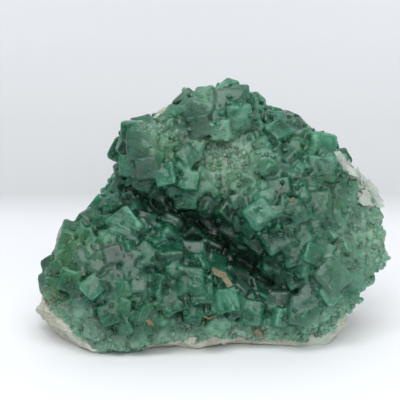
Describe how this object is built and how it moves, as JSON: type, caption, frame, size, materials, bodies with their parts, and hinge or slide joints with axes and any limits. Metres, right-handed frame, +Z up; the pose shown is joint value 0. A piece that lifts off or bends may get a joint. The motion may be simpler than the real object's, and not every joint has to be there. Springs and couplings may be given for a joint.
{
  "type": "fluorite specimen",
  "caption": "Display mineral specimen: a crust of intergrown green cubic crystals on a lump of pale host rock, standing on its flat foot.",
  "frame": {"origin": "centre of the bounding box's base, on the surface the specimen stands on", "axes": "+Z up, +X to the right as the crystal face is seen from the front, and the crystal face looks along -Y and a little upwards"},
  "size_m": [0.197, 0.1022, 0.1342],
  "materials": {
    "green_fluorite": "satin",
    "pale_rock": "matte"
  },
  "bodies": {
    "root": {"fluorite_crust": "green_fluorite", "host_rock": "pale_rock"}
  },
  "joints": []
}
